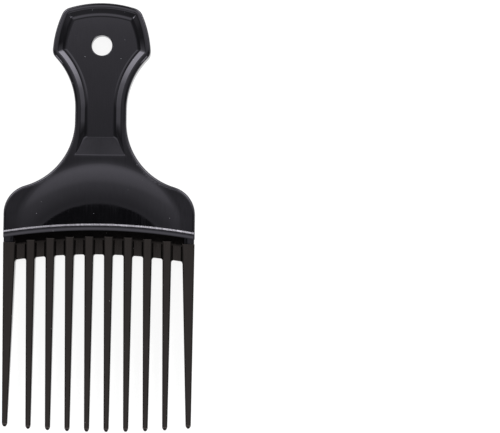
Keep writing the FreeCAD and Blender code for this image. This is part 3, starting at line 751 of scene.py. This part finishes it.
@dataclass
class ToothComb:
    """The toothed part: ten tapered teeth on a thin curved web that is pushed into the handle.

    Sizes are in millimetres. Drops count down from the seam's crest.
    """

    pitch: float = 7.70
    per_side: int = 4
    seam_radius: float = 230.0
    web_half: float = 33.6
    web_half_thickness: float = 1.8
    web_drop: float = 9.4
    web_bury: float = 2.0
    web_edge: float = 0.2
    slope_drop: float = 3.6
    slope_depth: float = 1.5
    gutter_width: float = 0.6
    gutter_depth: float = 0.35
    gap_round: float = 0.8
    rib_drop: float = 2.2
    tip_drop: float = 79.3
    tip_radius: float = 420.0
    root_width: float = 3.7
    root_depth: float = 5.8
    tip_width: float = 2.05
    tip_depth: float = 2.2
    point_length: float = 1.4
    point_share: float = 0.36
    tooth_round: float = 0.6
    rib_round: float = 0.4
    guard_outer: tuple[float, float] = (37.9, 37.25)
    guard_inner: tuple[float, float] = (32.8, 35.2)
    guard_drop: float = 4.81
    crease: float = 20.0

    def sag(self, radius: float, place: float) -> float:
        """Say how far an arc with its crest on the middle line has dropped at a place beside it."""
        return radius - math.sqrt(radius ** 2 - place ** 2)

    def along(self, root: float, tip: float, drop: float) -> float:
        """Say what a size that tapers evenly from rib to tip is at a drop."""
        return root + (tip - root) * (drop - self.rib_drop) / (self.tip_drop - self.rib_drop)

    def sides(self) -> list[tuple[tuple[float, float], tuple[float, float], float, float]]:
        """List the right-hand teeth.

        Returns:
            For each tooth its inner and outer side at rib and tip, and the drops of its ends.
        """
        teeth = []
        for number in range(self.per_side):
            place = (number + 0.5) * self.pitch
            root, tip = self.root_width / 2, self.tip_width / 2
            teeth.append(((place - root, place - tip), (place + root, place + tip),
                          self.rib_drop + self.sag(self.seam_radius, place),
                          self.tip_drop - self.sag(self.tip_radius, place)))
        teeth.append((self.guard_inner, self.guard_outer, self.guard_drop,
                      self.tip_drop - self.sag(self.tip_radius, self.guard_outer[1])))
        return teeth

    def tooth(self, mesh: BMesh, inner: tuple[float, float], outer: tuple[float, float],
              start: float, end: float) -> None:
        """Model one tooth as a tapered bar with round edges and a blunt point.

        Args:
            mesh: The mesh that gets the tooth.
            inner: Inner side at rib and tip.
            outer: Outer side at rib and tip.
            start: Drop of the rib's end.
            end: Drop of the tip.
        """
        neck = end - self.point_length
        bar = bmesh.ops.create_cube(mesh, size=1.0)["verts"]
        for drop, verts in ((start, [v for v in bar if v.co.y > 0]), (neck, [v for v in bar if v.co.y < 0])):
            left, right = self.along(*inner, drop), self.along(*outer, drop)
            depth = self.along(self.root_depth, self.tip_depth, drop)
            bmesh.ops.scale(mesh, verts=verts, vec=(right - left, 0.0, depth))
            bmesh.ops.translate(mesh, verts=verts, vec=((left + right) / 2, -drop, 0.0))
        faces = {face for vert in bar for face in vert.link_faces}
        long_edges = {edge for face in faces for edge in face.edges
                      if abs(edge.verts[0].co.y - edge.verts[1].co.y) > self.pitch}
        rounded = soften(mesh, long_edges, self.tooth_round, ROUND_SEGMENTS)
        whole = {face for vert in rounded for face in vert.link_faces}
        rib = max(whole, key=lambda face: face.calc_center_median().y)
        tip = min(whole, key=lambda face: face.calc_center_median().y)
        soften(mesh, rib.edges, self.rib_round, RIB_SEGMENTS)
        done, size = 0.0, 1.0
        for share in POINT_STEPS:
            made = bmesh.ops.extrude_face_region(mesh, geom=[tip])["geom"]
            bmesh.ops.delete(mesh, geom=[tip], context="FACES_ONLY")
            tip = next(item for item in made if isinstance(item, BMFace))
            wanted = 1 - (1 - self.point_share) * share ** 2
            where = tip.calc_center_median()
            bmesh.ops.scale(mesh, verts=tip.verts, vec=(wanted / size, 1.0, wanted / size),
                            space=Matrix.Translation(-where))
            bmesh.ops.translate(mesh, verts=tip.verts, vec=AHEAD * (-self.point_length * (share - done)))
            done, size = share, wanted

    def web(self, mesh: BMesh) -> None:
        """Model the web as a curved plate with a rounded arch between each two teeth.

        Args:
            mesh: The mesh that gets the web.
        """
        low = self.seam_radius - self.web_drop
        centre = Vector((0.0, -self.seam_radius, 0.0))
        face = UP * self.web_half_thickness
        first = mesh.verts.new(centre + Vector((0.0, low, self.web_half_thickness)))
        last = first
        for inner, outer, _, _ in self.sides():
            left, right = (self.along(*side, self.web_drop) for side in (inner, outer))
            turn = left - self.gap_round
            level = -self.web_drop - self.sag(low, turn)
            last = arc(mesh, last, centre, Vector((turn, level, 0.0)), ARCH_STEPS)
            last = arc(mesh, last, Vector((turn, level - self.gap_round, 0.0)),
                       Vector((left, level - self.gap_round, 0.0)), GAP_STEPS)
            hidden = level - 2 * self.gap_round
            last = run(mesh, last, Vector((left + self.tooth_round, hidden, 0.0)) + face)
            before = last
            if outer is self.guard_outer:
                break
            last = run(mesh, last, Vector((right - self.tooth_round, hidden, 0.0)) + face)
            turn = right + self.gap_round
            level = -self.web_drop - self.sag(low, turn)
            last = run(mesh, last, Vector((right, level - self.gap_round, 0.0)) + face)
            last = arc(mesh, last, Vector((turn, level - self.gap_round, 0.0)),
                       Vector((turn, level, 0.0)), GAP_STEPS)
        high = self.seam_radius - self.slope_drop
        corner = Vector((self.web_half, -self.slope_drop - self.sag(high, self.web_half), 0.0)) + face
        corner = run(mesh, last, corner)
        last = arc(mesh, corner, centre, Vector(), WEB_STEPS)
        bmesh.ops.edgeloop_fill(mesh, edges=chain(first, last) + [joined(mesh, last, first)])
        edge = chain(corner, last, after=joined(mesh, corner, before))
        for radius, sink in ((self.seam_radius, self.slope_depth), (self.seam_radius + self.web_bury, 0.0)):
            made = bmesh.ops.extrude_edge_only(mesh, edges=edge)["geom"]
            bmesh.ops.scale(mesh, verts=verts_of(made), vec=(radius / high, radius / high, 1.0),
                            space=Matrix.Translation(-centre))
            bmesh.ops.translate(mesh, verts=verts_of(made), vec=UP * -sink)
            high = radius
            edge = [item for item in made if isinstance(item, BMEdge)]
        rim = [item for item in mesh.edges
               if item.is_boundary and max(vert.co.x for vert in item.verts) > TIDY]
        wall = bmesh.ops.extrude_edge_only(mesh, edges=rim)["geom"]
        bmesh.ops.scale(mesh, verts=verts_of(wall), vec=(1.0, 1.0, 0.0))
        reflect(mesh, Mirror.SIDES)
        reflect(mesh, Mirror.FACES)
        bmesh.ops.recalc_face_normals(mesh, faces=mesh.faces)
        self.gutters(mesh)
        front = [edge for edge in mesh.edges if len(edge.link_faces) == 2
                 and all(abs(abs(vert.co.z) - self.web_half_thickness) < TIDY for vert in edge.verts)
                 and min(abs(near.normal.z) for near in edge.link_faces) < UPRIGHT]
        soften(mesh, front, self.web_edge, EDGE_SEGMENTS)

    def gutters(self, mesh: BMesh) -> None:
        """Cut a narrow gutter into both faces of the web on each side of every rib.

        Args:
            mesh: The web's closed mesh.
        """
        half = self.gutter_width / 2
        sunk = 1 - self.gutter_depth / self.web_half_thickness
        for inner, outer, _, _ in self.sides():
            beside = [self.along(*inner, self.web_drop) - half]
            if outer is not self.guard_outer:
                beside.append(self.along(*outer, self.web_drop) + half)
            for place in beside + [-place for place in beside]:
                for line in (place - half, place, place + half):
                    flats = [face for face in mesh.faces if abs(face.normal.z) > FLAT
                             and abs(abs(face.calc_center_median().z) - self.web_half_thickness) < TIDY]
                    cut(mesh, flats, RIGHT, line)
                low = [vert for vert in mesh.verts if abs(vert.co.x - place) < TIDY
                       and abs(abs(vert.co.z) - self.web_half_thickness) < TIDY]
                bmesh.ops.scale(mesh, verts=low, vec=(1.0, 1.0, sunk))
        mesh.normal_update()

    def build(self) -> bpy.types.Object:
        """Model the web and its ten teeth.

        Returns:
            The comb, in place.
        """
        mesh = bmesh.new()
        self.web(mesh)
        for inner, outer, start, end in self.sides():
            for side in (-1.0, 1.0):
                self.tooth(mesh, tuple(side * x for x in inner), tuple(side * x for x in outer), start, end)
        return piece(mesh, "moulded_tooth_comb", self.crease)

    def dress(self, made: bpy.types.Object, finish: Finish) -> None:
        """Give the comb its plastic and its place in the frame."""
        made.data.materials.append(finish.material())
        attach(made, "root")
        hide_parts("tooth_comb")


@dataclass(frozen=True)
class Softbox:
    """A soft lamp: where it hangs and how large it is, in metres, how bright its face looks, and its grid."""

    name: str
    place: tuple[float, float, float]
    size: tuple[float, float]
    brightness: float
    grid: float = 89.0

    def hang(self) -> None:
        """Hang the lamp facing the pick."""
        lamp = bpy.data.lights.new(self.name, "AREA")
        lamp.shape = "RECTANGLE"
        lamp.size, lamp.size_y = self.size
        # A grid over the face dims it evenly from the middle out to this angle.
        half = math.radians(self.grid)
        lamp.spread = 2 * half
        lamp.energy = self.brightness * math.pi * self.size[0] * self.size[1] * (1 - half / math.tan(half))
        made = bpy.data.objects.new(self.name, lamp)
        made.location = self.place
        made.rotation_euler = (-Vector(self.place)).to_track_quat("-Z", "Y").to_euler()
        bpy.context.scene.collection.objects.link(made)


@dataclass
class Studio:
    """The pale table, the room's light, the camera and the dark card, in metres and degrees."""

    floor_size: float = 6.0
    floor_colour: str = "#f7f7f7"
    floor_glow: float = 1.17
    glow_share: float = 0.75
    # The walls' share of the ceiling's light, and how far aside they begin and end.
    walls: float = 0.3
    walls_from: float = 0.15
    walls_to: float = 0.55
    # The ceiling's light by angle from straight up, from front to back.
    bands: tuple[tuple[float, float], ...] = (
        (-60.0, 0.35), (-50.0, 0.40), (-40.0, 0.6), (-30.0, 1.6), (-18.0, 1.6), (-10.0, 0.75),
        (-2.0, 0.6), (2.5, 0.5), (4.5, 0.4), (6.0, 0.50), (8.0, 0.68), (9.3, 0.80),
        (10.4, 1.2), (13.6, 1.75), (20.0, 1.7), (29.0, 0.7), (40.0, 0.3), (60.0, 0.2))
    distance: float = 0.65
    frame_width: float = 0.1985
    aside: float = 0.0597
    above: float = 0.0
    shift: float = 0.08
    lean: float = 0.68
    pitch: float = 3.0
    card_radius: float = 0.079
    card_height: float = 0.032
    card_top: float = 0.0442
    card_colour: str = "#050505"

    def floor(self) -> None:
        """Lay the pale table that the pick lies on."""
        mesh = bmesh.new()
        bmesh.ops.create_grid(mesh, x_segments=1, y_segments=1, size=self.floor_size / 2)
        paper = bpy.data.materials.new("white_paper_sweep")
        paper.use_nodes = True
        tree = paper.node_tree
        tree.nodes.clear()
        matt = add_node(tree, "ShaderNodeBsdfDiffuse", Color=linear(self.floor_colour))
        glow = add_node(tree, "ShaderNodeEmission", Strength=self.floor_glow)
        # The eye, and every mirror-like surface, sees the paper near white with a soft shadow left in it.
        seen = add_node(tree, "ShaderNodeLightPath").outputs
        rays = maths(tree, "MAXIMUM", seen["Is Camera Ray"], seen["Is Glossy Ray"])
        rays = maths(tree, "MAXIMUM", rays, seen["Is Transmission Ray"])
        both = add_node(tree, "ShaderNodeMixShader", Fac=maths(tree, "MULTIPLY", rays, self.glow_share))
        feed(tree, both.inputs[1], matt.outputs["BSDF"])
        feed(tree, both.inputs[2], glow.outputs["Emission"])
        add_node(tree, "ShaderNodeOutputMaterial", Surface=both.outputs["Shader"])
        self.place(mesh, "table", paper)

    @staticmethod
    def place(mesh: BMesh, name: str, material: bpy.types.Material) -> bpy.types.Object:
        """Put a studio object in the scene.

        Args:
            mesh: The object's mesh, which is freed.
            name: The object's name.
            material: The object's material.

        Returns:
            The new object.
        """
        data = bpy.data.meshes.new(name)
        mesh.to_mesh(data)
        mesh.free()
        data.materials.append(material)
        made = bpy.data.objects.new(name, data)
        bpy.context.scene.collection.objects.link(made)
        return made

    def lamps(self, softboxes: Iterable[Softbox]) -> None:
        """Set the room's light and hang the softboxes.

        Args:
            softboxes: The lamps to hang.
        """
        world = bpy.data.worlds.new("room_light")
        world.use_nodes = True
        tree = world.node_tree
        tree.nodes.clear()
        way = add_node(tree, "ShaderNodeTexCoord").outputs["Generated"]
        axes = add_node(tree, "ShaderNodeSeparateXYZ", Vector=way).outputs
        lean = maths(tree, "ARCTAN2", axes["Y"], axes["Z"])
        # The ceiling is lit in bands from front to back.
        first, last = math.radians(self.bands[0][0]), math.radians(self.bands[-1][0])
        spot = add_node(tree, "ShaderNodeMapRange", Value=lean, From_Min=first, From_Max=last)
        ramp = add_node(tree, "ShaderNodeValToRGB", Fac=spot.outputs["Result"])
        stops = ramp.color_ramp.elements
        for angle, light in self.bands[1:-1]:
            stops.new((math.radians(angle) - first) / (last - first)).color = (light, light, light, 1.0)
        for stop, (_, light) in ((stops[0], self.bands[0]), (stops[-1], self.bands[-1])):
            stop.color = (light, light, light, 1.0)
        # Towards the left and right walls it is dimmer.
        aside = maths(tree, "ABSOLUTE", axes["X"])
        dim = add_node(tree, "ShaderNodeMapRange", {"interpolation_type": "SMOOTHSTEP"}, Value=aside,
                       From_Min=self.walls_from, From_Max=self.walls_to, To_Min=1.0, To_Max=self.walls)
        room = add_node(tree, "ShaderNodeBackground", Color=ramp.outputs["Color"],
                        Strength=dim.outputs["Result"])
        add_node(tree, "ShaderNodeOutputWorld", Surface=room.outputs["Background"])
        bpy.context.scene.world = world
        for softbox in softboxes:
            softbox.hang()

    def camera(self) -> Vector:
        """Set the camera up over the pick.

        Returns:
            The camera's place.
        """
        scene = bpy.context.scene
        data = bpy.data.cameras.new("camera")
        data.sensor_width = SENSOR_WIDTH
        data.lens = data.sensor_width * self.distance / self.frame_width
        data.shift_x = self.shift
        made = bpy.data.objects.new("camera", data)
        turn = Matrix.Rotation(math.radians(self.lean), 4, "Z")
        turn = turn @ Matrix.Rotation(math.radians(self.pitch), 4, "X")
        offset = Vector((self.aside - self.shift * self.frame_width, self.above, self.distance))
        made.matrix_world = Matrix.Translation(turn @ offset + UP * MID_Z * MM) @ turn
        scene.collection.objects.link(made)
        scene.camera = made
        scene.view_settings.view_transform = "Standard"
        return made.matrix_world.translation.copy()

    def dark_card(self, eye: Vector) -> None:
        """Hang the dark card whose reflection shows in the polished shoulder, above the bead.

        Args:
            eye: The camera's place.
        """
        mesh = bmesh.new()
        bmesh.ops.create_circle(mesh, cap_ends=True, segments=CARD_STEPS, radius=self.card_radius)
        bmesh.ops.bisect_plane(mesh, geom=mesh.verts[:] + mesh.edges[:] + mesh.faces[:], clear_inner=True,
                               plane_co=AHEAD * (self.card_radius - self.card_height), plane_no=AHEAD)
        felt = bpy.data.materials.new("black_flocked_card")
        felt.use_nodes = True
        shader = felt.node_tree.nodes["Principled BSDF"]
        shader.inputs["Base Color"].default_value = linear(self.card_colour)
        card = self.place(mesh, "dark_card", felt)
        card.location = (-eye.x, self.card_top - self.card_radius, eye.z)
        for ray in ("visible_camera", "visible_shadow", "visible_diffuse"):
            setattr(card, ray, False)


SOFTBOXES = (
    Softbox("left_box", (-0.689, 0.578, 0.438), (1.45, 0.5), 3.0, 36.0),
    Softbox("right_box", (0.680, 0.590, 0.438), (1.45, 0.5), 2.8, 36.0),
    Softbox("back_left_box", (-0.528, 0.727, 0.438), (1.02, 0.5), 5.0, 27.0),
    Softbox("back_right_box", (0.528, 0.727, 0.438), (1.02, 0.5), 5.0, 27.0),
    Softbox("front_left_lamp", (-0.70, -0.48, 0.53), (0.4, 0.4), 6.0),
    Softbox("front_right_lamp", (0.56, -0.56, 0.61), (0.5, 0.4), 6.0),
)


def main() -> None:
    """Build the pick's pieces, then the studio round them, and report each one."""
    logging.basicConfig(level=logging.INFO, format="%(name)s: %(message)s")
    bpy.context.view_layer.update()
    for part, finish in ((Handle(), POLISHED), (ToothComb(), SATIN)):
        made = part.build()
        part.dress(made, finish)
        log.info("%s: %d faces", made.name, len(made.data.polygons))
    studio = Studio()
    studio.floor()
    studio.lamps(SOFTBOXES)
    studio.dark_card(studio.camera())


if __name__ == "__main__":
    main()
